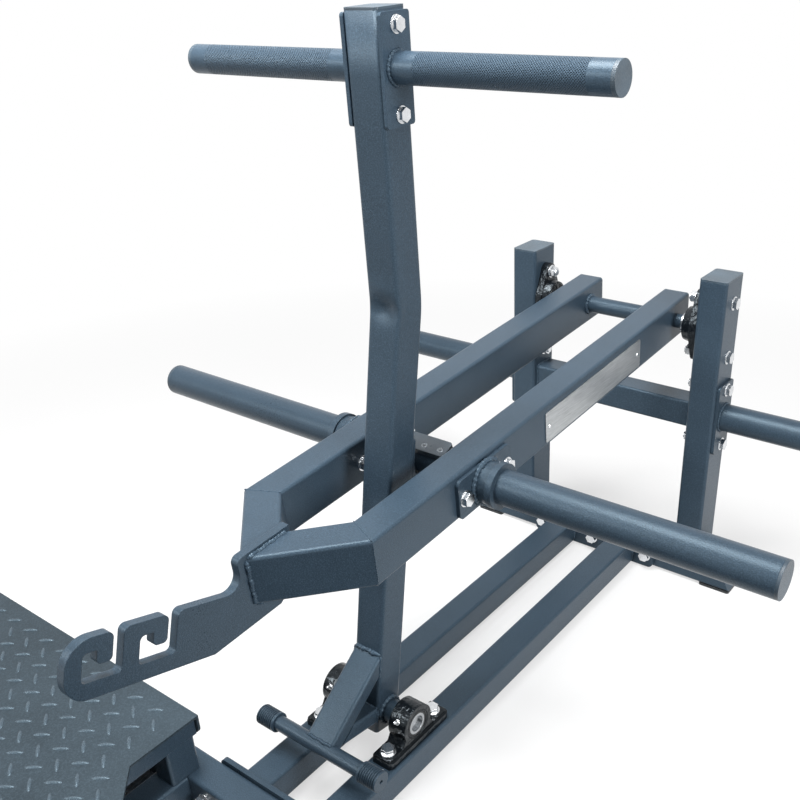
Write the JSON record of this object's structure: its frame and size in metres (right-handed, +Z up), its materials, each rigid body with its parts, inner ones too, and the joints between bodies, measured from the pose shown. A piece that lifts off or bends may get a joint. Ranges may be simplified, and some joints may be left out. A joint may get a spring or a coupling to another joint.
{
  "type": "belt squat machine",
  "caption": "Floor-standing belt squat machine: plate-loaded lever with a hooked nose, leaning release upright with handles and foot bar, tread plate platform.",
  "frame": {"origin": "on the floor at the middle of the footprint", "axes": "+Z up, +Y towards the rear posts, +X to the right hand of a user on the platform who faces the posts"},
  "size_m": [1.48, 1.5582, 1.0416],
  "materials": {
    "frame_paint": "satin",
    "plate_paint": "satin",
    "tread_plate": "satin",
    "black_casting": "gloss",
    "bright_steel": "satin",
    "zinc": "satin",
    "brushed_plate": "brushed",
    "black_rubber": "matte",
    "cap_plastic": "matte"
  },
  "bodies": {
    "base": {"rear_foot_beam": "frame_paint", "floor_pads": "black_rubber", "rear_post_left": "frame_paint", "rear_post_right": "frame_paint", "post_caps": "cap_plastic", "post_cross_beam": "frame_paint", "storage_horn_left": "plate_paint", "storage_horn_right": "plate_paint", "storage_horn_caps": "cap_plastic", "storage_horn_bolts": "zinc", "bearing_housing_left": "black_casting", "bearing_housing_right": "black_casting", "bearing_bolts": "zinc", "base_rail_left": "frame_paint", "base_rail_right": "frame_paint", "rear_flange_plate": "plate_paint", "front_flange_plate": "plate_paint", "flange_bolts": "zinc", "front_cross_beam": "frame_paint", "side_beam_left": "frame_paint", "side_beam_right": "frame_paint", "front_foot_beam": "frame_paint", "platform_legs": "frame_paint", "platform_frame_left": "frame_paint", "platform_frame_right": "frame_paint", "platform_frame_middle": "frame_paint", "platform_plate": "tread_plate", "pillow_block_left": "black_casting", "pillow_block_right": "black_casting", "pillow_bolts": "zinc"},
    "lever": {"lever_beam_left": "frame_paint", "lever_beam_right": "frame_paint", "nose_beam_left": "frame_paint", "nose_beam_right": "frame_paint", "hook_plate": "plate_paint", "pivot_shaft": "plate_paint", "pivot_rings": "bright_steel", "cross_tube": "frame_paint", "rest_pad": "black_rubber", "rest_pad_screws": "zinc", "weight_horn_left": "plate_paint", "weight_horn_right": "plate_paint", "weight_horn_caps": "cap_plastic", "weight_horn_bolts": "zinc", "nameplate": "brushed_plate", "nameplate_rivets": "zinc", "lever_end_caps": "cap_plastic"},
    "upright": {"upright_tube": "frame_paint", "upright_cap": "cap_plastic", "handle_left": "plate_paint", "handle_right": "plate_paint", "handle_caps": "cap_plastic", "handle_bolts": "zinc", "upright_shaft": "bright_steel", "upright_rings": "bright_steel", "foot_lever": "frame_paint", "foot_lever_strut": "frame_paint", "foot_bar": "plate_paint", "foot_grips": "plate_paint", "catch_bracket": "plate_paint"}
  },
  "joints": [
    {"name": "lever_hinge", "type": "hinge", "parent": "base", "child": "lever", "pos_m": [0, 0.72892, 0.496], "axis": [-1, 0, 0], "range_deg": [0, 16]},
    {"name": "upright_hinge", "type": "hinge", "parent": "base", "child": "upright", "pos_m": [0, -0.00808, 0.0915], "axis": [1, 0, 0], "range_deg": [0, 13]}
  ]
}
